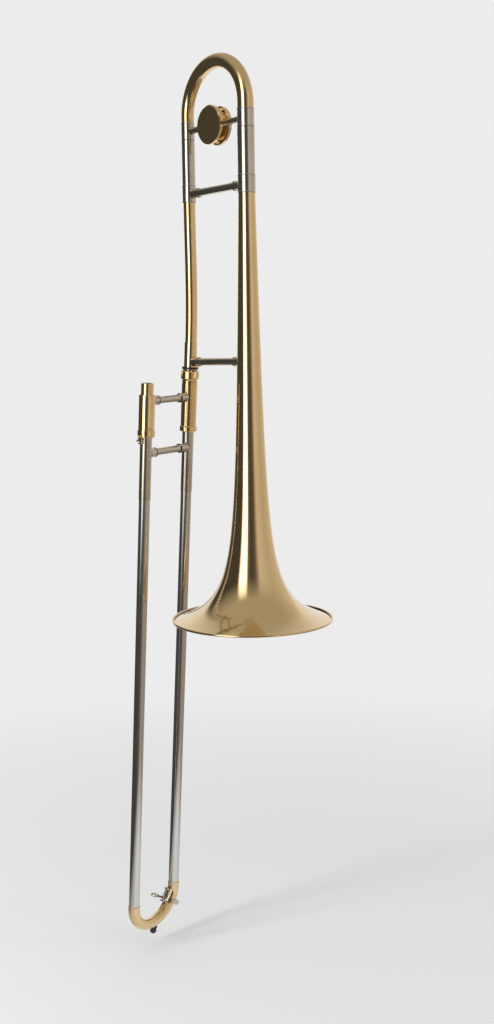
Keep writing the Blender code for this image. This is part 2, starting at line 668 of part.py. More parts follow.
def lock_nut(slide_frame):
    chamfer = 0.0022
    lip_bore = TENON_SHANK_RADIUS + SEAT_GAP
    profile = [
        (NUT_RADIUS - chamfer, -NUT_TOP), (NUT_RADIUS, -NUT_TOP - chamfer),
        (NUT_RADIUS, -NUT_BOTTOM + 2 * chamfer), (NUT_RADIUS - 0.8 * chamfer, -NUT_BOTTOM + chamfer),
        (NUT_RADIUS - 0.8 * chamfer, -NUT_BOTTOM), (lip_bore, -NUT_BOTTOM), (lip_bore, -NUT_LIP_TOP),
        (NUT_BORE, -NUT_LIP_TOP), (NUT_BORE, -NUT_TOP),
    ]
    nut = turned("lock_nut", profile, BRASS, 24)
    place(nut, slide_frame)
    for index in range(NUT_FLUTES):
        angle = 2 * math.pi * (index + 0.5) / NUT_FLUTES
        flute = rod("cut_flute_%d" % index, NUT_FLUTE_RADIUS, 0.004, -NUT_LENGTH * 0.62, None, 8, CUTTERS)
        reach = NUT_RADIUS + 0.5 * NUT_FLUTE_RADIUS
        place(flute, slide_frame, (reach * math.cos(angle), reach * math.sin(angle), -NUT_TOP))
        cut(nut, flute)


def inner_slide(slide_frame):
    tip = RECEIVER_TOP + NECK_INSERT + 2 * SEAT_GAP + 0.001
    tenon = [
        (TENON_TIP_RADIUS, -tip), (TENON_ROOT_RADIUS, -FLANGE_TOP), (TENON_FLANGE_RADIUS, -FLANGE_TOP),
        (TENON_FLANGE_RADIUS, -FLANGE_BOTTOM), (TENON_SHANK_RADIUS, -FLANGE_BOTTOM),
        (TENON_SHANK_RADIUS, -TENON_END), (TUBE_SOCKET_BORE, -TENON_END),
        (TUBE_SOCKET_BORE, -TENON_SEAT), (BORE_RADIUS, -TENON_SEAT), (BORE_RADIUS, -tip),
    ]
    place(turned("slide_tenon", tenon, NICKEL), slide_frame)

    bead_top = BARREL_END - BARREL_BEAD_LENGTH
    hole = TENON_SHANK_RADIUS + SOLDER_GAP
    barrel = [
        (BARREL_RADIUS - 0.0008, -BARREL_TOP), (BARREL_RADIUS, -BARREL_TOP - 0.0012),
        (BARREL_RADIUS, -bead_top), (BARREL_BEAD_RADIUS, -bead_top - 0.0012),
        (BARREL_BEAD_RADIUS, -BARREL_END), (BARREL_BORE, -BARREL_END),
        (BARREL_BORE, -BARREL_TOP - BARREL_HEAD), (hole, -BARREL_TOP - BARREL_HEAD),
        (hole, -BARREL_TOP),
    ]
    place(turned("cork_barrel_bell", barrel, BRASS), slide_frame)

    mouth = (SLIDE_SPACING, 0, 0)
    hole = MOUTH_RECEIVER_RADIUS + SOLDER_GAP
    shoulder = RING_TOP - SEAT_GAP
    lip_top = BARREL_END - LOCK_LIP
    barrel = [
        (BARREL_RADIUS - 0.0008, -MOUTH_BARREL_TOP), (BARREL_RADIUS, -MOUTH_BARREL_TOP - 0.0012),
        (BARREL_RADIUS, -shoulder), (LOCK_SPIGOT_RADIUS, -shoulder), (LOCK_SPIGOT_RADIUS, -lip_top),
        (BARREL_RADIUS + 0.0004, -lip_top), (BARREL_RADIUS + 0.0004, -BARREL_END),
        (BARREL_BORE, -BARREL_END), (BARREL_BORE, -MOUTH_BARREL_TOP - BARREL_HEAD),
        (hole, -MOUTH_BARREL_TOP - BARREL_HEAD), (hole, -MOUTH_BARREL_TOP),
    ]
    place(turned("cork_barrel_mouth", barrel, BRASS), slide_frame, mouth)

    seat = MOUTH_RECEIVER_END - 0.014
    receiver = [
        (MOUTH_RECEIVER_RADIUS, -MOUTH_RECEIVER_TOP), (MOUTH_RECEIVER_RADIUS, -MOUTH_RECEIVER_END),
        (TUBE_SOCKET_BORE, -MOUTH_RECEIVER_END), (TUBE_SOCKET_BORE, -seat), (BORE_RADIUS, -seat),
        (BORE_RADIUS, -MOUTH_RECEIVER_TOP),
    ]
    place(turned("mouthpiece_receiver", receiver, BRASS), slide_frame, mouth)
    pipe_top = MOUTH_RECEIVER_TOP + LEADPIPE_RECESS
    pipe_end = pipe_top + LEADPIPE_LENGTH
    leadpipe = [
        (LEADPIPE_RADIUS, -pipe_top), (LEADPIPE_RADIUS, -pipe_end),
        (LEADPIPE_RADIUS - LEADPIPE_END_WALL, -pipe_end),
        (LEADPIPE_RADIUS - LEADPIPE_TIP_WALL, -pipe_top),
    ]
    place(turned("leadpipe", leadpipe, BRASS), slide_frame, mouth)

    for name, at, top in (
        ("bell", (0, 0, 0), TENON_SEAT + SEAT_GAP), ("mouth", mouth, seat + SEAT_GAP),
    ):
        stocking = INNER_TUBE_END - STOCKING_LENGTH
        profile = [
            (INNER_TUBE_RADIUS, -top), (INNER_TUBE_RADIUS, -stocking), (STOCKING_RADIUS, -stocking - 0.002),
            (STOCKING_RADIUS, -INNER_TUBE_END), (BORE_RADIUS, -INNER_TUBE_END), (BORE_RADIUS, -top),
        ]
        place(turned("inner_tube_" + name, profile, CHROME), slide_frame, at)
        cork = tube("cork_ring_" + name, BARREL_BORE - SEAT_GAP, INNER_TUBE_RADIUS + SOLDER_GAP,
                    -CORK_BOTTOM + CORK_LENGTH, -CORK_BOTTOM, CORK)
        place(cork, slide_frame, at)


def grip_brace(name, slide_frame, depth, host_radius, flares):
    along = Matrix.Rotation(math.pi / 2, 4, "Y")
    frame = frame_empty(name + "_frame", Matrix.Translation((0, 0, -depth)) @ along, slide_frame)
    cutters = [
        host_cutter("cut_" + name + "_" + side, host_radius, 0.03, slide_frame, (x, 0, -depth))
        for side, x in (("bell", 0), ("mouth", SLIDE_SPACING))
    ]
    hosts = (("bell", 0, host_radius), ("mouth", SLIDE_SPACING, host_radius))
    brace(name, frame, hosts, GRIP_RADIUS, cutters, flares)


def slide_lock(slide_frame):
    """The ring at the end of the mouthpiece side barrel, with a hook that turns over the stud."""
    frame = frame_empty("slide_lock_axis", Matrix.Translation((SLIDE_SPACING, 0, 0)), slide_frame)
    bottom = RING_TOP + LOCK_RING_LENGTH
    ring = turned("slide_lock_ring", [
        (LOCK_RING_RADIUS - 0.0006, -RING_TOP), (LOCK_RING_RADIUS, -RING_TOP - 0.0012),
        (LOCK_RING_RADIUS, -bottom + 0.0006), (LOCK_RING_RADIUS - 0.0005, -bottom),
        (LOCK_RING_BORE, -bottom), (LOCK_RING_BORE, -RING_TOP),
    ], BRASS)
    place(ring, frame)
    half = LOCK_HOOK_WIDTH / 2
    hook_near = BARREL_RADIUS + 0.0004 + SEAT_GAP
    hook = box("add_lock_hook", (hook_near, -half, -BARREL_END - LOCK_HOOK_DROP),
               (LOCK_HOOK_RADIAL, half, -RING_TOP - 0.002))
    bm = bmesh.new()
    bmesh.ops.create_uvsphere(bm, u_segments=SMALL_STEPS, v_segments=8, radius=LOCK_KNOB_RADIUS)
    knob = mesh_object("add_lock_knob", bm, None, CUTTERS)
    slot_half = STUD_RADIUS + SEAT_GAP
    slot = box("cut_lock_slot", (hook_near - 0.002, -half - 0.002, -STUD_DEPTH - slot_half),
               (LOCK_HOOK_RADIAL + 0.002, -half + LOCK_SLOT_DEPTH, -STUD_DEPTH + slot_half))
    place(hook, frame)
    place(knob, frame, (LOCK_HOOK_RADIAL + 0.4 * LOCK_KNOB_RADIUS, 0, -BARREL_END + 0.001))
    place(slot, frame)
    combine(ring, hook, "UNION")
    combine(ring, knob, "UNION")
    cut(ring, slot)


# Hand slide, outer part.

def bow_path(solid_gap=0.0):
    """Points along the bow's middle from the bell side to the mouthpiece side."""
    half = SLIDE_SPACING / 2
    points = [Vector((0, 0, -SLIDE_SEAM)), Vector((0, 0, -BOW_START + 0.0012))]
    for index in range(19):
        angle = math.pi * index / 18
        x = half - half * math.cos(angle)
        points.append(Vector((x, 0, -BOW_START - BOW_DEPTH * math.sin(angle))))
    points.append(Vector((SLIDE_SPACING, 0, -BOW_START + 0.0012)))
    points.append(Vector((SLIDE_SPACING, 0, -SLIDE_SEAM)))
    return points, [BOW_RADIUS + solid_gap] * len(points)


def key_frame(slide_frame):
    """Frame on the bow's middle at the water key: X inward, Y along the slide frame's Y."""
    half = SLIDE_SPACING / 2
    point = Vector((half - half * math.cos(KEY_ANGLE), 0, -BOW_START - BOW_DEPTH * math.sin(KEY_ANGLE)))
    inward = Vector((BOW_DEPTH * math.cos(KEY_ANGLE), 0, half * math.sin(KEY_ANGLE))).normalized()
    side = Vector((0, 1, 0))
    matrix = Matrix((inward, side, inward.cross(side))).transposed().to_4x4()
    matrix.translation = point
    return frame_empty("water_key_frame", matrix, slide_frame)


def outer_slide(slide_frame):
    frame = frame_empty("outer_slide_frame", Matrix(), slide_frame)
    for name, x in (("bell", 0), ("mouth", SLIDE_SPACING)):
        at = (x, 0, 0)
        pipe = tube("outer_tube_" + name, OUTER_TUBE_RADIUS, OUTER_BORE, -OUTER_TUBE_TOP,
                    -OUTER_TUBE_END, CHROME)
        place(pipe, frame, at)
        sleeve = tube("outer_sleeve_" + name, OUTER_SLEEVE_RADIUS, OUTER_SLEEVE_BORE,
                      -OUTER_TUBE_TOP - 0.002, -OUTER_SLEEVE_END, CHROME)
        place(sleeve, frame, at)
    grip_brace("outer_brace", frame, OUTER_BRACE_DEPTH, OUTER_SLEEVE_RADIUS,
               (0.0006, GRIP_FLANGE_RADIUS - GRIP_SOCKET_RADIUS))

    stud = turned("lock_stud", [
        (0, STUD_REACH), (STUD_RADIUS, STUD_REACH), (STUD_RADIUS, OUTER_SLEEVE_RADIUS + 0.001),
        (STUD_RADIUS + 0.0008, OUTER_SLEEVE_RADIUS + 0.0004),
        (STUD_RADIUS + 0.0008, OUTER_SLEEVE_RADIUS - 0.001), (0, OUTER_SLEEVE_RADIUS - 0.001),
    ], NICKEL, SMALL_STEPS)
    place(stud, frame, (SLIDE_SPACING, 0, -STUD_DEPTH), (0, math.pi / 2, STUD_ANGLE))
    cut(stud, host_cutter("cut_stud_sleeve", OUTER_SLEEVE_RADIUS, 0.01, frame,
                          (SLIDE_SPACING, 0, -STUD_DEPTH)))

    path, radii = bow_path()
    bow = place(swept("slide_bow", path, radii, BRASS, BOW_WALL), frame)
    path, radii = bow_path(SEAT_GAP)
    keep_off = place(swept("cut_bow_seat", path, radii, None, 0, 8, CUTTERS), frame)

    middle = (SLIDE_SPACING / 2, 0, -BOW_START - BOW_DEPTH)
    peg_end = -BOW_RADIUS - BUMPER_PEG_LENGTH
    peg = turned("bumper_peg", [
        (0, -BOW_RADIUS + 0.002), (0.0030, -BOW_RADIUS + 0.002), (0.0030, -BOW_RADIUS - 0.0012),
        (BUMPER_PEG_RADIUS, -BOW_RADIUS - 0.0012), (BUMPER_PEG_RADIUS, peg_end), (0, peg_end),
    ], NICKEL, SMALL_STEPS)
    place(peg, frame, middle)
    cut(peg, keep_off)
    hole = BUMPER_PEG_RADIUS + SOLDER_GAP
    rim_bottom = -BOW_RADIUS - BUMPER_RIM
    end = -BOW_RADIUS - BUMPER_LENGTH
    ball = arc((0, end + BUMPER_RADIUS), BUMPER_RADIUS, math.radians(20), math.radians(-90), 6)
    bumper = turned("bow_bumper", [
        (BUMPER_RIM_RADIUS, -BOW_RADIUS + 0.0015), (BUMPER_RIM_RADIUS, rim_bottom),
        (BUMPER_RADIUS * 0.85, rim_bottom - 0.0006), *ball[:-1], (0, end),
        (0, peg_end - SEAT_GAP), (hole, peg_end - SEAT_GAP), (hole, -BOW_RADIUS - 0.0012 - SEAT_GAP),
        (0.0030 + SOLDER_GAP, -BOW_RADIUS - 0.0012 - SEAT_GAP), (0.0030 + SOLDER_GAP, -BOW_RADIUS + 0.0015),
    ], RUBBER, 16)
    place(bumper, frame, middle)
    cut(bumper, keep_off)
    water_key(frame, bow, keep_off)
    return frame


# Water key.

def water_key(frame, bow, keep_off):
    on_bow = key_frame(frame)
    hinge = (KEY_HINGE_RADIUS * math.cos(KEY_HINGE_TURN), KEY_HINGE_RADIUS * math.sin(KEY_HINGE_TURN), 0)
    arm_middle = -SADDLE_LENGTH / 2 + SADDLE_LUG + SEAT_GAP + KEY_BARREL_LENGTH / 2
    nipple_turn = (0, math.pi / 2, KEY_PAD_TURN)
    nipple_at = (0, 0, arm_middle)
    nipple_top = BOW_RADIUS + KEY_NIPPLE_HEIGHT
    nipple = tube("key_nipple", KEY_NIPPLE_RADIUS, KEY_NIPPLE_BORE, nipple_top,
                  BOW_RADIUS - 0.002, BRASS, SMALL_STEPS)
    place(nipple, on_bow, nipple_at, nipple_turn)
    cut(nipple, keep_off)
    drain = rod("cut_drain", KEY_NIPPLE_BORE, BOW_RADIUS + 0.003, BOW_RADIUS - 0.003, None,
                SMALL_STEPS, CUTTERS)
    place(drain, on_bow, nipple_at, nipple_turn)
    cut(bow, drain)

    # The saddle is modelled lying along X, square to the bow, and then turned to the hinge.
    half = SADDLE_LENGTH / 2
    wide = SADDLE_WIDTH / 2
    base_top = BOW_RADIUS + SEAT_GAP + SADDLE_BASE
    lug_top = KEY_HINGE_RADIUS + KEY_BARREL_RADIUS
    saddle = box("key_saddle", (BOW_RADIUS - 0.001, -wide, -half), (base_top, wide, half),
                 TROMBONE, NICKEL)
    place(saddle, on_bow, (0, 0, 0), (0, 0, KEY_HINGE_TURN))
    for sign in (-1, 1):
        low, high = sorted((sign * half, sign * (half - SADDLE_LUG)))
        lug = box("add_lug_%d" % sign, (BOW_RADIUS, -wide * 0.9, low), (lug_top, wide * 0.9, high))
        place(lug, on_bow, (0, 0, 0), (0, 0, KEY_HINGE_TURN))
        combine(saddle, lug, "UNION")
    pin_hole = rod("cut_key_pin", KEY_PIN_RADIUS + SOLDER_GAP, half + 0.01, -half - 0.01, None,
                   SMALL_STEPS, CUTTERS)
    place(pin_hole, on_bow, hinge)
    cut(saddle, pin_hole, keep_off)
    pin_top = half + SEAT_GAP
    pin = turned("key_screw", [
        (0, pin_top + 0.0009), (0.0018, pin_top + 0.0009), (0.0020, pin_top), (KEY_PIN_RADIUS, pin_top),
        (KEY_PIN_RADIUS, -half - 0.0006), (0, -half - 0.0006),
    ], STEEL, SMALL_STEPS)
    place(pin, on_bow, hinge)

    axis = frame_empty("water_key_axis", Matrix.Translation(hinge), on_bow)
    key_lever(axis, hinge, arm_middle)
    key_spring(axis, arm_middle)


def key_lever(axis, hinge, arm_middle):
    """The lever: hinge barrel, finger stem with its pad, and the arm round to the cork's cup."""
    barrel_half = KEY_BARREL_LENGTH / 2
    bore = KEY_PIN_RADIUS + SOLDER_GAP
    lever = tube("key_lever", KEY_BARREL_RADIUS, bore, arm_middle + barrel_half,
                 arm_middle - barrel_half, NICKEL, SMALL_STEPS)
    place(lever, axis)
    cup_low = BOW_RADIUS + KEY_NIPPLE_HEIGHT + SEAT_GAP + KEY_CORK_THICKNESS + SEAT_GAP
    cup_high = cup_low + KEY_CUP_THICKNESS
    cup = rod("add_cup", KEY_CUP_RADIUS, cup_high, cup_low, None, SMALL_STEPS, CUTTERS)
    place(cup, axis, (-hinge[0], -hinge[1], arm_middle), (0, math.pi / 2, KEY_PAD_TURN))

    # The arm is a flat outline in the bow's cross section, spiralling out from hinge to cup.
    inner = []
    outer = []
    count = 10
    start_turn = KEY_HINGE_TURN + math.radians(4)
    for index in range(count):
        share = index / (count - 1)
        turn = start_turn + (KEY_PAD_TURN - start_turn) * share
        inner_radius = KEY_HINGE_RADIUS + (cup_low + 0.0003 - KEY_HINGE_RADIUS) * share
        for line, radius in ((inner, inner_radius), (outer, inner_radius + KEY_ARM_THICKNESS)):
            line.append((radius * math.cos(turn) - hinge[0], radius * math.sin(turn) - hinge[1]))
    curve = bpy.data.curves.new("add_arm", "CURVE")
    curve.dimensions = "2D"
    curve.fill_mode = "BOTH"
    curve.extrude = KEY_ARM_WIDTH / 2
    spline = curve.splines.new("POLY")
    outline = outer + inner[::-1]
    spline.points.add(len(outline) - 1)
    for target, point in zip(spline.points, outline):
        target.co = (*point, 0, 1)
    spline.use_cyclic_u = True
    shape = bpy.data.objects.new("add_arm", curve)
    CUTTERS.objects.link(shape)
    graph = bpy.context.evaluated_depsgraph_get()
    data = bpy.data.meshes.new_from_object(shape.evaluated_get(graph))
    bpy.data.objects.remove(shape, do_unlink=True)
    bm = bmesh.new()
    bm.from_mesh(data)
    bmesh.ops.remove_doubles(bm, verts=bm.verts, dist=0.000001)
    bmesh.ops.recalc_face_normals(bm, faces=bm.faces)
    bpy.data.meshes.remove(data)
    arm = place(mesh_object("add_arm", bm, None, CUTTERS), axis, (0, 0, arm_middle))

    pad_start = KEY_FINGER_LENGTH - KEY_FINGER_PAD
    finger = turned("add_finger", [
        (0, KEY_FINGER_LENGTH), (KEY_FINGER_RADIUS * 0.8, KEY_FINGER_LENGTH - 0.0008),
        (KEY_FINGER_RADIUS, KEY_FINGER_LENGTH - 0.003), (KEY_FINGER_RADIUS * 0.8, pad_start + 0.002),
        (KEY_STEM_RADIUS, pad_start), (KEY_STEM_RADIUS, KEY_BARREL_RADIUS - 0.0007),
        (0, KEY_BARREL_RADIUS - 0.0007),
    ], None, 10, CUTTERS)
    place(finger, axis, (0, 0, arm_middle), (0, math.pi / 2, 0))
    for extra in (arm, cup, finger):
        combine(lever, extra, "UNION")
    pin_clear = rod("cut_lever_bore", bore, 0.02, -0.02, None, SMALL_STEPS, CUTTERS)
    place(pin_clear, axis)
    cut(lever, pin_clear)
    cork = rod("key_cork", KEY_CORK_RADIUS, cup_low - SEAT_GAP,
               cup_low - SEAT_GAP - KEY_CORK_THICKNESS, CORK, SMALL_STEPS)
    place(cork, axis, (-hinge[0], -hinge[1], arm_middle), (0, math.pi / 2, KEY_PAD_TURN))


def key_spring(axis, arm_middle):
    """One wire: a straight foot, curls round the hinge screw, and a second foot."""
    low = arm_middle + KEY_BARREL_LENGTH / 2 + SEAT_GAP + SPRING_WIRE
    high = SADDLE_LENGTH / 2 - SADDLE_LUG - SEAT_GAP - SPRING_WIRE
    count = SPRING_CURLS * SPRING_CURL_POINTS
    points = []
    for index in range(count + 1):
        turn = 2 * math.pi * index / SPRING_CURL_POINTS
        height = low + (high - low) * index / count
        points.append(Vector((SPRING_RADIUS * math.cos(turn), SPRING_RADIUS * math.sin(turn), height)))
    first_foot = points[0] + Vector((0, -0.0040, 0))
    last_foot = points[-1] + Vector((0, 0.0040, 0))
    points = [first_foot] + points + [last_foot]
    pitch = (high - low) / SPRING_CURLS
    print("water key spring: gap between curls %.2f mm" % (1000 * (pitch - 2 * SPRING_WIRE)))
    spring = swept("key_spring", points, [SPRING_WIRE] * len(points), STEEL, 0, 1)
    place(spring, axis)


def settle():
    """Bake each piece's modifiers, and shade it smooth but for its sharp edges."""
    bpy.context.view_layer.update()
    graph = bpy.context.evaluated_depsgraph_get()
    baked = {}
    for obj in TROMBONE.objects:
        if obj.type == "MESH":
            baked[obj] = bpy.data.meshes.new_from_object(obj.evaluated_get(graph))
    for obj, data in baked.items():
        obj.modifiers.clear()
        obj.data = data
        data.shade_smooth()
        data.set_sharp_from_angle(angle=math.radians(35))


def main():
    base = bell_section()
    neck_point = Matrix.Translation((-LEG_SPACING - NECK_OUTSET, 0, NECK_POINT_HEIGHT))
    tilt = Matrix.Rotation(SLIDE_TILT, 4, "Y")
    swivel = Matrix.Rotation(SLIDE_SWIVEL - math.pi / 2, 4, "Z")
    slide_frame = frame_empty("hand_slide_axis", neck_point @ tilt @ swivel)
    gooseneck(base, slide_frame)
    bell_braces(base, slide_frame)
    tuning_slide()
    lock_nut(slide_frame)
    inner_slide(slide_frame)
    grip_brace("inner_brace", slide_frame, INNER_BRACE_DEPTH, BARREL_RADIUS, (0.0004, 0.0004))
    slide_lock(slide_frame)
    outer_slide(slide_frame)
    bpy.context.view_layer.update()
    for name in ("hand_slide_axis", "slide_lock_axis", "water_key_axis"):
        matrix = bpy.data.objects[name].matrix_world
        place_text = " ".join("%.5f" % value for value in matrix.translation)
        axis_text = " ".join("%.5f" % value for value in matrix.col[2][:3])
        print(name, "at", place_text, "axis", axis_text)
    settle()


main()
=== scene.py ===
# %% [markdown]
# A tenor trombone, dressed for its portrait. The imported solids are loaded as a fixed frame, and
# this file gives them their finish: smooth polished tubes, turned ferrules and a mirror-like
# bell. Polished metal shows every facet, so the large round pieces are made again here with
# many more steps, on the very axes and sizes of the solids they stand for.

import json
import math

import bmesh
import bpy
from mathutils import Matrix, Vector


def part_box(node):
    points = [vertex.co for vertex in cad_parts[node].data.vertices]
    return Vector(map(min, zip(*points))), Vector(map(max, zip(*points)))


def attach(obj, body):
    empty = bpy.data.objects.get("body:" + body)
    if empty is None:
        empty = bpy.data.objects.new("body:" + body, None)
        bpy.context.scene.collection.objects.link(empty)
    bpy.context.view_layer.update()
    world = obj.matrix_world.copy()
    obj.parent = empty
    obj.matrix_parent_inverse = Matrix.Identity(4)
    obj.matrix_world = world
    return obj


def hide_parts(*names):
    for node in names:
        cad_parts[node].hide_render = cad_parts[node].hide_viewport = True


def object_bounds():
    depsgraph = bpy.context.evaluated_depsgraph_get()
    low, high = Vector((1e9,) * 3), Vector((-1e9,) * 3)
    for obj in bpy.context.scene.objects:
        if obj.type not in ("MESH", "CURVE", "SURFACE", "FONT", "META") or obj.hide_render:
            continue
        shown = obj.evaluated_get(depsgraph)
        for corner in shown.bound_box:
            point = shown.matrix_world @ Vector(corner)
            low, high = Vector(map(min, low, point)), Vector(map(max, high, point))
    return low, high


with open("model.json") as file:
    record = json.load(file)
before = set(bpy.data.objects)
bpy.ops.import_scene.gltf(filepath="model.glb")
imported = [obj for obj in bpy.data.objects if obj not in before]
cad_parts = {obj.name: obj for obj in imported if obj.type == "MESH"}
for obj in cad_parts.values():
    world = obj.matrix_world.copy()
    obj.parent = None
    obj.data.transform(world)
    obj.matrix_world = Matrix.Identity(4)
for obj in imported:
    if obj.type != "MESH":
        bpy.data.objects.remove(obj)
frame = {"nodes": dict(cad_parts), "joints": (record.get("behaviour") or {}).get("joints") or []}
cad_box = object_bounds()
print("nodes in the frame:", len(frame["nodes"]))

# %% [markdown]
# Blender opens with a cube, a lamp and a camera of its own. They go first, so that only the
# pieces of this instrument are in the picture.

# %% Clear what Blender brings along
for name in ("Cube", "Light", "Camera"):
    if name in bpy.data.objects:
        bpy.data.objects.remove(bpy.data.objects[name])

# %% [markdown]
# The camera stands at the photograph's place. Its place, turn and lens were solved from edges
# of the photograph and known sizes, so they are written as angles and a focal length in pixels
# of an image 494 wide and 1024 high. The lens in millimetres follows from the image's height.

# %% Camera
IMAGE_HEIGHT = 1024
FOCAL_PIXELS = 1211.95
SENSOR_MM = 36
CAMERA_PLACE = Vector((1.15608, -0.94188, 0.33113))
CAMERA_YAW = math.radians(51.032)
CAMERA_PITCH = math.radians(-7.449)
CAMERA_ROLL = math.radians(0.83)

camera = bpy.data.objects.new("camera", bpy.data.cameras.new("camera"))
bpy.context.scene.collection.objects.link(camera)
bpy.context.scene.camera = camera
camera.data.sensor_width = SENSOR_MM
camera.data.lens = FOCAL_PIXELS * SENSOR_MM / IMAGE_HEIGHT
yaw = Matrix.Rotation(CAMERA_YAW, 4, "Z")
pitch = Matrix.Rotation(CAMERA_PITCH + math.pi / 2, 4, "X")
roll = Matrix.Rotation(-CAMERA_ROLL, 4, "Z")
camera.matrix_world = Matrix.Translation(CAMERA_PLACE) @ yaw @ pitch @ roll
bpy.context.scene.view_settings.view_transform = "Standard"
print("lens %.2f mm" % camera.data.lens)

# %% [markdown]
# Shader maths reads badly as a list of nodes. This small class wraps a socket, so that a sum of
# masks is written as a sum, and each operator adds the Math node that it stands for.


# %% A socket that takes part in sums
class Wire:
    """A socket of a shader tree, with the operators of a number."""

    def __init__(self, tree, socket):
        self.tree = tree
        self.socket = socket

    def math(self, operation, first, second):
        node = self.tree.nodes.new("ShaderNodeMath")
        node.operation = operation
        for slot, value in zip(node.inputs, (first, second)):
            if isinstance(value, Wire):
                self.tree.links.new(value.socket, slot)
            else:
                slot.default_value = value
        return Wire(self.tree, node.outputs[0])

    def __add__(self, other):
        return self.math("ADD", self, other)

    def __mul__(self, other):
        return self.math("MULTIPLY", self, other)

    def __sub__(self, other):
        return self.math("SUBTRACT", self, other)

    def __rsub__(self, other):
        return self.math("SUBTRACT", other, self)

    def __truediv__(self, other):
        return self.math("DIVIDE", self, other)

    def clamped(self):
        return self.math("MINIMUM", self.math("MAXIMUM", self, 0), 1)

    __radd__ = __add__
    __rmul__ = __mul__


# %% [markdown]
# A recipe is one finish. It makes any node by its type, and feeds the Principled shader: what
# varies over the surface goes in by a link, and what is the same all over is set on the socket.


# %% A finish and its nodes
class Recipe:
    """One finish, with short ways to add nodes and to feed its Principled shader."""

    def __init__(self, name):
        self.finish = bpy.data.materials.new(name)
        self.finish.use_nodes = True
        self.tree = self.finish.node_tree
        self.shader = self.tree.nodes["Principled BSDF"]
        self.place = self.node("ShaderNodeTexCoord", output="Object")

    def node(self, kind, output=0, settings=(), stops=(), sockets=()):
        made = self.tree.nodes.new(kind)
        for name, value in dict(settings).items():
            setattr(made, name, value)
        for index, (position, colour) in enumerate(stops):
            ramp = made.color_ramp.elements
            stop = ramp[index] if index < len(ramp) else ramp.new(position)
            stop.position = position
            stop.color = (*colour, 1)
        for name, value in dict(sockets).items():
            if isinstance(value, Wire):
                self.tree.links.new(value.socket, made.inputs[name])
            else:
                made.inputs[name].default_value = value
        return Wire(self.tree, made.outputs[output])

    def noise(self, scale, detail=3, stretch=(1, 1, 1)):
        place = self.node("ShaderNodeMapping", sockets={"Vector": self.place, "Scale": stretch})
        return self.node("ShaderNodeTexNoise",
                         sockets={"Vector": place, "Scale": scale, "Detail": detail})

    def mixed(self, share, low, high):
        low = (*low, 1) if isinstance(low, tuple) else low
        high = (*high, 1) if isinstance(high, tuple) else high
        return self.node("ShaderNodeMix", output=2, settings={"data_type": "RGBA"},
                         sockets={0: share, 6: low, 7: high})

    def bumped(self, height, strength, distance):
        return self.node("ShaderNodeBump", sockets={
            "Height": height, "Strength": strength, "Distance": distance})

    def feed(self, **values):
        for name, value in values.items():
            slot = self.shader.inputs[name.replace("_", " ")]
            if isinstance(value, Wire):
                self.tree.links.new(value.socket, slot)
            else:
                slot.default_value = value


# %% [markdown]
# Lacquered brass is yellow metal under a thin clear coat. The metal itself is never even: its
# tone drifts a little, buffing leaves faint lines along the tube, and fingers leave duller
# patches. The clear coat is the shader's own coat layer, which keeps its gloss over all that.

# %% Lacquered brass
BRASS_DEEP = (0.78, 0.55, 0.26)
BRASS_PALE = (0.90, 0.68, 0.38)


def lacquered_brass(name, deep=BRASS_DEEP, pale=BRASS_PALE):
    recipe = Recipe(name)
    drift = recipe.noise(9, 4)
    buffing = recipe.noise(900, 2, (1, 1, 0.04))
    touched = (recipe.noise(26, 5) - 0.55).clamped() * 1.6
    recipe.feed(
        Base_Color=recipe.mixed((drift * 1.5 - 0.25).clamped(), deep, pale),
        Metallic=1.0,
        Roughness=0.075 + 0.05 * buffing + 0.22 * touched,
        Coat_Weight=(0.75 - 0.6 * touched).clamped(),
        Coat_Roughness=0.04,
        Normal=recipe.bumped(buffing * 0.6 + recipe.noise(160, 2), 0.05, 0.0003),
    )
    return recipe.finish


BRASS = lacquered_brass("lacquered brass")
BRASS_TURNED = lacquered_brass("turned brass", (0.76, 0.53, 0.24), (0.88, 0.65, 0.35))

# %% [markdown]
# Nickel silver is warm grey and a little softer in its shine than plating. Turned parts carry
# fine rings from the lathe, which run round the leg, so their noise is squeezed along Z.

# %% Nickel silver and plated tube


def nickel_silver(name):
    recipe = Recipe(name)
    rings = recipe.noise(1400, 2, (0.05, 0.05, 1))
    clouds = recipe.noise(30, 4)
    recipe.feed(
        Base_Color=recipe.mixed(clouds, (0.56, 0.50, 0.42), (0.72, 0.67, 0.60)),
        Metallic=1.0,
        Roughness=0.10 + 0.10 * rings + 0.10 * (clouds - 0.5).clamped(),
        Normal=recipe.bumped(rings, 0.08, 0.0002),
    )
    return recipe.finish


def plated_tube(name):
    recipe = Recipe(name)
    wiped = recipe.noise(700, 2, (1, 1, 0.02))
    film = (recipe.noise(14, 5) - 0.45).clamped()
    recipe.feed(
        Base_Color=recipe.mixed(film, (0.74, 0.72, 0.69), (0.60, 0.57, 0.53)),
        Metallic=1.0,
        Roughness=0.06 + 0.06 * wiped + 0.18 * film,
        Normal=recipe.bumped(wiped, 0.04, 0.0002),
    )
    return recipe.finish


NICKEL = nickel_silver("nickel silver")
PLATED = plated_tube("plated tube")

# %% [markdown]
# The small soft parts do the cushioning. Rubber is matt and slightly dusty, cork is amber with
# dark pores, and the screws are plain turned steel.

# %% Rubber, cork and steel


def rubber():
    recipe = Recipe("black rubber")
    dust = (recipe.noise(220, 4) - 0.5).clamped()
    recipe.feed(
        Base_Color=recipe.mixed(dust, (0.012, 0.012, 0.013), (0.09, 0.085, 0.08)),
        Roughness=0.42 + 0.5 * dust,
        Normal=recipe.bumped(recipe.noise(1800, 3), 0.2, 0.0003),
    )
    return recipe.finish


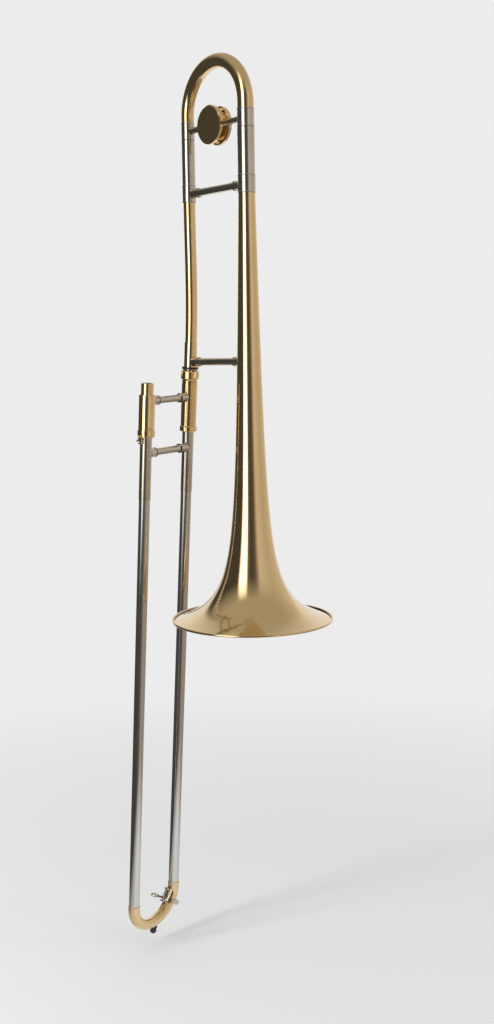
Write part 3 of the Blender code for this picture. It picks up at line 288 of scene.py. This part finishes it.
def cork():
    recipe = Recipe("amber cork")
    pores = recipe.noise(1500, 5)
    pitted = (pores * 4 - 2.2).clamped()
    recipe.feed(
        Base_Color=recipe.mixed(pitted, (0.52, 0.30, 0.12), (0.14, 0.07, 0.03)),
        Roughness=0.75 + 0.2 * pores,
        Normal=recipe.bumped(1 - pitted, 0.5, 0.0004),
    )
    return recipe.finish


def turned_steel():
    recipe = Recipe("turned steel")
    rings = recipe.noise(2500, 2)
    recipe.feed(
        Base_Color=recipe.mixed(rings, (0.36, 0.34, 0.31), (0.58, 0.56, 0.52)),
        Metallic=1.0,
        Roughness=0.2 + 0.15 * rings,
        Normal=recipe.bumped(rings, 0.1, 0.0002),
    )
    return recipe.finish


RUBBER = rubber()
CORK = cork()
STEEL = turned_steel()

# %% [markdown]
# Each CAD node now takes its finish. Nodes whose shape is right stay: a Weld joins the loose
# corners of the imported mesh, and smooth shading with an edge split keeps real corners crisp.

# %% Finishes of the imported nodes
SMOOTH_ANGLE = math.radians(35)
WELD_REACH = 0.000002
BRASS_NODES = {
    "bell", "gooseneck", "tuning_crook", "slide_bow", "neck_receiver", "mouthpiece_receiver",
    "cork_barrel_bell", "cork_barrel_mouth", "leadpipe", "lock_nut", "slide_lock_ring",
    "counterweight_front", "counterweight_rear", "key_nipple",
}
PLATED_NODES = {
    side % end for side in ("inner_tube_%s", "outer_tube_%s", "outer_sleeve_%s")
    for end in ("bell", "mouth")
}
STEEL_NODES = {
    "rim_wire", "counterweight_screw_upper", "counterweight_screw_lower", "key_screw", "key_spring",
}


def finish_of(node):
    if node in BRASS_NODES:
        return BRASS_TURNED if node in ("lock_nut", "slide_lock_ring") else BRASS
    if node in PLATED_NODES:
        return PLATED
    if node in STEEL_NODES:
        return STEEL
    if node in ("stop_ring", "bow_bumper"):
        return RUBBER
    if "cork_ring" in node or node == "key_cork":
        return CORK
    return NICKEL


for name, node in frame["nodes"].items():
    node.data.materials.clear()
    node.data.materials.append(finish_of(name))
    if "custom_normal" in node.data.attributes:
        node.data.attributes.remove(node.data.attributes["custom_normal"])
    node.data.shade_smooth()
    weld = node.modifiers.new("Weld", "WELD")
    weld.merge_threshold = WELD_REACH
    split = node.modifiers.new("Crisp corners", "EDGE_SPLIT")
    split.split_angle = SMOOTH_ANGLE
print("brass nodes:", len(BRASS_NODES))

# %% [markdown]
# Most of the instrument is turned or drawn tube, so two makers cover it. A lathe turns a closed
# outline about an axis, and a pipe carries a ring along a bent line that lies in one plane.

# %% A lathe
LATHE_STEPS = 96
MERGE_DISTANCE = 0.0000005


def shown(name, bm, finish, body, *replaced):
    """Make a mesh object of bm, riding on a body and standing for CAD nodes."""
    bmesh.ops.remove_doubles(bm, verts=bm.verts, dist=MERGE_DISTANCE)
    bmesh.ops.recalc_face_normals(bm, faces=bm.faces)
    data = bpy.data.meshes.new(name)
    bm.to_mesh(data)
    bm.free()
    data.shade_smooth()
    data.set_sharp_from_angle(angle=SMOOTH_ANGLE)
    data.materials.append(finish)
    piece = bpy.data.objects.new(name, data)
    bpy.context.scene.collection.objects.link(piece)
    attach(piece, body)
    if replaced:
        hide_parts(*replaced)


def skinned(bm, rings):
    """Faces from each ring of points to the next, and from the last back to the first."""
    bm.verts.ensure_lookup_table()
    for ring, after in zip(rings, rings[1:] + rings[:1]):
        count = len(ring)
        for index in range(count):
            other = (index + 1) % count
            corners = (ring[index], ring[other], after[other], after[index])
            bm.faces.new([bm.verts[corner] for corner in corners])


def lathe(name, outline, axis, finish, body, *replaced, steps=LATHE_STEPS):
    """Turn a closed outline of (radius, height) points about the axis frame's Z."""
    bm = bmesh.new()
    rings = []
    for step in range(steps):
        angle = 2 * math.pi * step / steps
        ring = []
        for radius, height in outline:
            ring.append(len(bm.verts))
            place = Vector((radius * math.cos(angle), radius * math.sin(angle), height))
            bm.verts.new(axis @ place)
        rings.append(ring)
    skinned(bm, rings)
    shown(name, bm, finish, body, *replaced)


# %% [markdown]
# The pipe has an outer and an inner skin, and its ends are closed by the ring between them.

# %% A bent pipe and a straight tube's outline
PIPE_STEPS = 64
CORNER_EASE = 0.0003


def pipe(name, line, radii, wall, across, finish, body, *replaced, steps=PIPE_STEPS):
    """A tube along points in one plane, whose normal is across."""
    bm = bmesh.new()
    rings = []
    across = Vector(across).normalized()
    for radius_cut in (0, wall):
        skin = []
        for index, point in enumerate(line):
            after = line[min(index + 1, len(line) - 1)]
            before = line[max(index - 1, 0)]
            side = across.cross((after - before).normalized())
            ring = []
            for step in range(steps):
                angle = 2 * math.pi * step / steps
                reach = radii[index] - radius_cut
                ring.append(len(bm.verts))
                bm.verts.new(point + reach * (math.cos(angle) * across + math.sin(angle) * side))
            skin.append(ring)
        rings += skin if radius_cut == 0 else skin[::-1]
    skinned(bm, rings)
    shown(name, bm, finish, body, *replaced)


def tube_outline(radius, bore, top, bottom, ease=CORNER_EASE):
    """A straight tube's outline with eased outer corners."""
    return [
        (bore, top), (radius - ease, top), (radius, top - ease), (radius, bottom + ease),
        (radius - ease, bottom), (bore, bottom),
    ]


# %% [markdown]
# Every place below comes from the frame. The bell's axis is Z itself, the neck leg stands at
# the middle of its ferrule, and the hand slide's two axes are those of the joints.

# %% Places taken from the frame
joints = {joint["name"]: joint for joint in frame["joints"]}
slide_origin = Vector(joints["slide_swivel"]["pos_m"])
slide_up = Vector(joints["slide_swivel"]["axis"]).normalized()
mouth_point = Vector(joints["lock_turn"]["pos_m"])
slide_across = (mouth_point - slide_origin).normalized()
slide_depth = slide_up.cross(slide_across)
slide_spacing = (mouth_point - slide_origin).length


def standing(origin):
    """A frame at a point, with the hand slide's own directions as its X, Y and Z."""
    made = Matrix((slide_across, slide_depth, slide_up)).transposed().to_4x4()
    made.translation = origin
    return made


BELL_SIDE = standing(slide_origin)
MOUTH_SIDE = standing(mouth_point)
neck_low, neck_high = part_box("neck_ferrule")
NECK_LEG = Matrix.Translation(((neck_low.x + neck_high.x) / 2, 0, 0))
BELL_LEG = Matrix.Identity(4)


def reach(node, axis):
    """Lowest height, highest height, largest and smallest radius of a node about an axis."""
    back = axis.inverted()
    local = [back @ vertex.co for vertex in frame["nodes"][node].data.vertices]
    heights = [point.z for point in local]
    radii = [math.hypot(point.x, point.y) for point in local]
    return min(heights), max(heights), max(radii), min(radii)


print("slide tubes %.1f mm apart" % (1000 * slide_spacing))
print("leg spacing %.1f mm" % (-1000 * NECK_LEG.translation.x))

# %% [markdown]
# The bell is one sheet. Its radius falls off with height like a power curve on top of a slow
# taper, which is how bell makers draw it, and its edge is rolled round a wire. The steps crowd
# towards the rim, where the sheet bends most.

# %% Bell
RIM_RADIUS = 0.1016
THROAT_RADIUS = 0.00887
BELL_TAPER = 0.0175
FLARE_DEPTH = 0.0414
FLARE_POWER = 1.65
SHEET = 0.0006
BEAD = 0.0016
BEAD_START = math.radians(-108)
BEAD_TURN = math.radians(252)
BEAD_STEPS = 18
BELL_STEPS_ALONG = 72
BELL_STEPS_ROUND = 160
BELL_CROWDING = 2.2
BELL_LOWEST = 0.0008
bell_length = neck_low.z
bead_middle = BEAD - SHEET / 2
bead_place = (RIM_RADIUS - BEAD, BEAD)
edge_radius = bead_place[0] + bead_middle * math.cos(BEAD_START)
edge_height = bead_place[1] + bead_middle * math.sin(BEAD_START)
flare_scale = (edge_radius - THROAT_RADIUS - BELL_TAPER * bell_length) * FLARE_DEPTH**FLARE_POWER


def bell_sheet_radius(height):
    above = height - edge_height
    flare = flare_scale * (above + FLARE_DEPTH) ** -FLARE_POWER
    return THROAT_RADIUS + BELL_TAPER * (bell_length - above) + flare


def bell():
    tail = reach("bell", BELL_LEG)[1]
    line = []
    for step in range(BELL_STEPS_ALONG):
        height = tail * (1 - step / BELL_STEPS_ALONG) ** BELL_CROWDING + BELL_LOWEST
        line.append(Vector((bell_sheet_radius(height), height)))
    for step in range(BEAD_STEPS + 1):
        angle = BEAD_START + BEAD_TURN * step / BEAD_STEPS
        outward = Vector((math.cos(angle), math.sin(angle)))
        line.append(Vector(bead_place) + bead_middle * outward)
    outer = []
    inner = []
    for index, point in enumerate(line):
        along = line[min(index + 1, len(line) - 1)] - line[max(index - 1, 0)]
        side = Vector((-along.y, along.x)).normalized() * SHEET / 2
        outer.append(point + side)
        inner.append(point - side)
    outline = [tuple(point) for point in outer + inner[::-1]]
    lathe("bell_sheet", outline, BELL_LEG, BRASS, "bell_section", "bell",
          steps=BELL_STEPS_ROUND)


bell()
print("bell %.0f mm long and %.0f mm wide" % (1000 * bell_length, 2000 * RIM_RADIUS))

# %% [markdown]
# The crook is a half circle of tapering tube. It is widest on the bell's side and slims down
# towards the neck leg, and its straight ends sit in the two ferrules.

# %% Tuning crook
CROOK_BELL_RADIUS = 0.0100
CROOK_NECK_RADIUS = 0.0080
CROOK_WALL = 0.0005
CROOK_STEPS = 96
crook_low, crook_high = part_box("tuning_crook")
half_span = -NECK_LEG.translation.x / 2
crook_centre = crook_high.z - half_span - (CROOK_BELL_RADIUS + CROOK_NECK_RADIUS) / 2


def crook():
    line = [Vector((0, 0, crook_low.z))]
    radii = [CROOK_BELL_RADIUS]
    for step in range(CROOK_STEPS + 1):
        share = step / CROOK_STEPS
        angle = math.pi * share
        line.append(Vector((-half_span + half_span * math.cos(angle), 0,
                            crook_centre + half_span * math.sin(angle))))
        radii.append(CROOK_BELL_RADIUS + (CROOK_NECK_RADIUS - CROOK_BELL_RADIUS) * share)
    line.append(Vector((-2 * half_span, 0, crook_low.z)))
    radii.append(CROOK_NECK_RADIUS)
    pipe("crook_tube", line, radii, CROOK_WALL, (0, 1, 0), BRASS, "tuning_slide", "tuning_crook")


crook()

# %% [markdown]
# Ferrules are short turned sleeves that hide the joints between tubes. The real ones have a
# plain middle and a raised bead at each end, and those beads catch the light, so they are in
# the outline rather than in the material.

# %% Ferrules and tuning sleeves
BEAD_RISE = 0.00035
BEAD_LENGTH = 0.0016
BEAD_BENDS = 6


def beaded_outline(radius, bore, top, bottom):
    """A sleeve with a rounded bead at each end."""
    waist = radius - BEAD_RISE
    outline = [(bore, top)]
    half = BEAD_LENGTH / 2
    for upper, lower in ((top, top - BEAD_LENGTH), (bottom + BEAD_LENGTH, bottom)):
        middle = (upper + lower) / 2
        for step in range(BEAD_BENDS + 1):
            angle = math.pi * step / BEAD_BENDS
            outline.append((waist + BEAD_RISE * math.sin(angle), middle + half * math.cos(angle)))
    return outline + [(bore, bottom)]


for node, axis, body in (
    ("bell_ferrule", BELL_LEG, "bell_section"), ("neck_ferrule", NECK_LEG, "bell_section"),
    ("crook_ferrule_bell", BELL_LEG, "tuning_slide"),
    ("crook_ferrule_neck", NECK_LEG, "tuning_slide"),
):
    bottom, top, radius, bore = reach(node, axis)
    lathe(node + "_turned", beaded_outline(radius, bore, top, bottom), axis, NICKEL, body, node)

for node, axis in (("tuning_sleeve_bell", BELL_LEG), ("tuning_sleeve_neck", NECK_LEG)):
    bottom, top, radius, bore = reach(node, axis)
    lathe(node + "_drawn", tube_outline(radius, bore, top, bottom), axis, NICKEL,
          "bell_section", node)

# %% [markdown]
# The gooseneck leaves its ferrule upright and leans over to meet the hand slide's axis. A cubic
# that starts along one axis and ends along the other gives that lean without a kink.

# %% Gooseneck
NECK_RADIUS = 0.00765
NECK_WALL = 0.0005
NECK_STRAIGHT = 0.004
NECK_INSERT = 0.009
NECK_LANDING = 0.003
NECK_STEPS = 48
receiver_top = reach("neck_receiver", BELL_SIDE)[1]


def gooseneck():
    top = Vector((NECK_LEG.translation.x, 0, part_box("gooseneck")[1].z))
    start = Vector((NECK_LEG.translation.x, 0, bell_length - NECK_STRAIGHT))
    end = slide_origin + slide_up * (receiver_top + NECK_LANDING)
    last = slide_origin + slide_up * (receiver_top - NECK_INSERT)
    span = (end - start).length
    line = [top]
    for step in range(NECK_STEPS + 1):
        share = step / NECK_STEPS
        blend = 3 * share**2 - 2 * share**3
        leave = (share**3 - 2 * share**2 + share) * span
        arrive = (share**3 - share**2) * span
        line.append(start.lerp(end, blend) - Vector((0, 0, leave)) - slide_up * arrive)
    line.append(last)
    pipe("neckpipe", line, [NECK_RADIUS] * len(line), NECK_WALL, (0, 1, 0), BRASS,
         "bell_section", "gooseneck")


gooseneck()

# %% [markdown]
# The barrel on the bell's side is turned brass with a collar at its foot, and is made again
# here with the outer tubes and their sleeves. The receiver, the nut, the other barrel and the
# mouthpiece receiver keep the shapes of their solids.

# %% Barrel, outer tubes and outer sleeves
COLLAR_EASE = 0.0005
COLLAR_SHOULDER = 0.4
COLLAR_LIP = 0.3


def collared(radius, collar, bore, top, bottom, collar_length):
    """A tube with a wider collar at its lower end."""
    edge = bottom + collar_length
    ease = COLLAR_EASE
    return [
        (bore, top), (radius - ease, top), (radius, top - ease), (radius, edge + ease),
        (radius + COLLAR_SHOULDER * (collar - radius), edge),
        (collar - COLLAR_LIP * ease, edge - ease),
        (collar, edge - 2 * ease), (collar, bottom + ease), (collar - ease, bottom), (bore, bottom),
    ]


BARREL_RADIUS = 0.0103
BARREL_BORE = 0.0097
BARREL_COLLAR_LENGTH = 0.0068
THIN_TUBE_EASE = 0.0001
bottom, top, collar = reach("cork_barrel_bell", BELL_SIDE)[:3]
barrel = collared(BARREL_RADIUS, collar, BARREL_BORE, top, bottom, BARREL_COLLAR_LENGTH)
lathe("barrel_bell_turned", barrel, BELL_SIDE, BRASS_TURNED, "inner_slide", "cork_barrel_bell")

for node, axis, finish in (
    ("outer_tube_bell", BELL_SIDE, PLATED), ("outer_tube_mouth", MOUTH_SIDE, PLATED),
    ("outer_sleeve_bell", BELL_SIDE, NICKEL), ("outer_sleeve_mouth", MOUTH_SIDE, NICKEL),
):
    bottom, top, radius, bore = reach(node, axis)
    lathe(node + "_drawn", tube_outline(radius, bore, top, bottom, THIN_TUBE_EASE), axis, finish,
          "outer_slide", node)

# %% [markdown]
# The bow closes the slide at its far end. It is a flattened half round, so it is drawn as half
# an ellipse between the two tubes.

# %% Slide bow
BOW_RADIUS = 0.0079
BOW_WALL = 0.0005
BOW_DEPTH = 0.0375
BOW_STEPS = 72
bow_bottom, bow_top = reach("slide_bow", BELL_SIDE)[:2]
bow_start = bow_bottom + BOW_RADIUS + BOW_DEPTH


def bow():
    half = slide_spacing / 2
    line = [slide_origin + slide_up * bow_top]
    for step in range(BOW_STEPS + 1):
        angle = math.pi * step / BOW_STEPS
        across = half - half * math.cos(angle)
        line.append(slide_origin + slide_across * across
                    + slide_up * (bow_start - BOW_DEPTH * math.sin(angle)))
    line.append(mouth_point + slide_up * bow_top)
    pipe("bow_tube", line, [BOW_RADIUS] * len(line), BOW_WALL, slide_depth, BRASS,
         "outer_slide", "slide_bow")


bow()

# %% [markdown]
# The floor is plain pale paper that fades into the backdrop's tone, so no horizon shows. In the
# metal's mirror it ends sooner, because a pale floor would wash out the dark side of the tubes.

# %% Floor
FLOOR_DROP = 0.012
FLOOR_REACH = 6.0
FLOOR_STEPS = 96
PAPER_REACH = 0.45
PAPER_FADE = 0.9
MIRRORED_REACH = 0.12
MIRRORED_FADE = 0.3
BACKDROP = (0.84, 0.84, 0.84)
FLOOR_COLOUR = (0.80, 0.80, 0.81)
FLOOR_ROUGHNESS = 0.9
floor_height = cad_box[0].z - FLOOR_DROP


def floor():
    bm = bmesh.new()
    bmesh.ops.create_circle(bm, cap_ends=True, segments=FLOOR_STEPS, radius=FLOOR_REACH)
    data = bpy.data.meshes.new("floor")
    bm.to_mesh(data)
    bm.free()
    piece = bpy.data.objects.new("floor", data)
    piece.location = (0, 0, floor_height)
    bpy.context.scene.collection.objects.link(piece)
    recipe = Recipe("floor paper")
    recipe.feed(Base_Color=(*FLOOR_COLOUR, 1), Roughness=FLOOR_ROUGHNESS)
    glow = recipe.node("ShaderNodeEmission", sockets={"Color": (*BACKDROP, 1)})
    open_air = recipe.node("ShaderNodeBsdfTransparent")
    mirrored = recipe.node("ShaderNodeLightPath", output="Is Glossy Ray")
    beyond = recipe.node("ShaderNodeMixShader", sockets={0: mirrored, 1: glow, 2: open_air})
    far = recipe.node("ShaderNodeVectorMath", output="Value", settings={"operation": "LENGTH"},
                      sockets={0: recipe.place})
    paper = Wire(recipe.tree, recipe.shader.outputs[0])
    mirrored_share = mirrored * ((far - MIRRORED_REACH) / MIRRORED_FADE).clamped()
    share = (((far - PAPER_REACH) / PAPER_FADE).clamped() + mirrored_share).clamped()
    whole = recipe.node("ShaderNodeMixShader", sockets={0: share, 1: paper, 2: beyond})
    surface = recipe.tree.nodes["Material Output"].inputs["Surface"]
    recipe.tree.links.new(whole.socket, surface)
    data.materials.append(recipe.finish)


floor()

# %% [markdown]
# Polished metal is a picture of its room. On an upright tube each stripe is one bearing of that
# room: from the left edge a dark studio, one tall white soft box, a dark gap beside the camera,
# and a warm grey wall that fills the right half. A mirror turns a ray by twice the slope, so a
# stripe a third of the tube's width in from the edge comes from about forty degrees round.
# Steep rays upward meet a pale ceiling, which lights the flare, and rays downward meet a lower
# room without the soft box, which keeps the hand slide's tubes dark.

# %% Room that the metal mirrors
AMBIENT = 0.75
ROOM_BRIGHTEST = 3.0
WALL_WARM = (0.66, 0.62, 0.57)
WALL_FAR = (0.52, 0.48, 0.43)
STUDIO_DARK = (0.062, 0.060, 0.054)
STUDIO_BROWN = (0.13, 0.115, 0.10)
CEILING = (0.42, 0.40, 0.34)
CEILING_START = 0.42
CEILING_FADE = 0.40
LOW_WALL = (0.36, 0.30, 0.25)
LOW_START = 0.14
LOW_FADE = 0.12
SOFT_BOX_WHITE = (ROOM_BRIGHTEST, ROOM_BRIGHTEST, 0.98 * ROOM_BRIGHTEST)
ROOM_BY_BEARING = (
    (-180, BACKDROP), (-150, BACKDROP), (-142, STUDIO_DARK), (-58, STUDIO_DARK),
    (-47, SOFT_BOX_WHITE), (-28, SOFT_BOX_WHITE), (-18, STUDIO_BROWN), (0, STUDIO_DARK),
    (16, STUDIO_BROWN), (34, WALL_WARM), (80, WALL_FAR), (138, WALL_WARM), (150, BACKDROP),
    (180, BACKDROP),
)
LOW_ROOM_BY_BEARING = (
    (-180, BACKDROP), (-150, BACKDROP), (-142, STUDIO_DARK), (-30, STUDIO_DARK),
    (16, STUDIO_BROWN), (34, LOW_WALL), (138, LOW_WALL), (150, BACKDROP), (180, BACKDROP),
)
toward_camera = Vector((CAMERA_PLACE.x, CAMERA_PLACE.y, 0)).normalized()
rightward = Vector((-toward_camera.y, toward_camera.x, 0))


class Room:
    """The world's shader tree, with the short ways of a recipe."""

    def __init__(self):
        world = bpy.data.worlds.new("studio")
        bpy.context.scene.world = world
        world.use_nodes = True
        self.tree = world.node_tree

    node = Recipe.node
    mixed = Recipe.mixed


def room():
    studio = Room()
    direction = studio.node("ShaderNodeTexCoord", output="Generated")

    def along(axis):
        return studio.node("ShaderNodeVectorMath", output="Value",
                           settings={"operation": "DOT_PRODUCT"}, sockets={0: direction, 1: axis})

    bearing = along(rightward).math("ARCTAN2", along(rightward), along(toward_camera))
    share = bearing / (2 * math.pi) + 0.5

    def painted(by_bearing):
        stops = [
            ((degrees + 180) / 360, tuple(value / ROOM_BRIGHTEST for value in colour))
            for degrees, colour in by_bearing
        ]
        ramp = studio.node("ShaderNodeValToRGB", stops=stops, sockets={0: share})
        return studio.node("ShaderNodeVectorMath", settings={"operation": "SCALE"},
                           sockets={0: ramp, "Scale": ROOM_BRIGHTEST})

    low = ((along((0, 0, -1)) - LOW_START) / LOW_FADE).clamped()
    walls = studio.mixed(low, painted(ROOM_BY_BEARING), painted(LOW_ROOM_BY_BEARING))
    overhead = ((along((0, 0, 1)) - CEILING_START) / CEILING_FADE).clamped()
    mirrored = studio.mixed(overhead, walls, CEILING)
    glossy = studio.node("ShaderNodeLightPath", output="Is Glossy Ray")
    camera_ray = studio.node("ShaderNodeLightPath", output="Is Camera Ray")
    lit = studio.mixed(glossy, (AMBIENT, AMBIENT, AMBIENT), mirrored)
    seen = studio.mixed(camera_ray, lit, BACKDROP)
    studio.tree.links.new(seen.socket, studio.tree.nodes["Background"].inputs["Color"])


room()

# %% [markdown]
# Two lamps shade the soft parts and throw the floor's shadow. The metal already mirrors the
# room above, so mirrors don't see the lamps a second time.

# %% Lamps
object_middle = (cad_box[0] + cad_box[1]) / 2


def soft_box(name, bearing, away, width, height, watts):
    """A lamp that faces the object, turned from the camera by a bearing in degrees."""
    lamp = bpy.data.lights.new(name, "AREA")
    lamp.shape = "RECTANGLE"
    lamp.size = width
    lamp.size_y = height
    lamp.energy = watts
    holder = bpy.data.objects.new(name, lamp)
    bpy.context.scene.collection.objects.link(holder)
    turned = Matrix.Rotation(math.radians(bearing), 4, "Z") @ toward_camera
    holder.location = object_middle + turned * away
    holder.rotation_mode = "QUATERNION"
    holder.rotation_quaternion = turned.to_track_quat("Z", "Y")
    holder.visible_glossy = False


soft_box("soft_box_left", bearing=-60, away=1.7, width=0.34, height=1.7, watts=26)
soft_box("soft_box_right", bearing=75, away=2.0, width=0.25, height=1.5, watts=10)
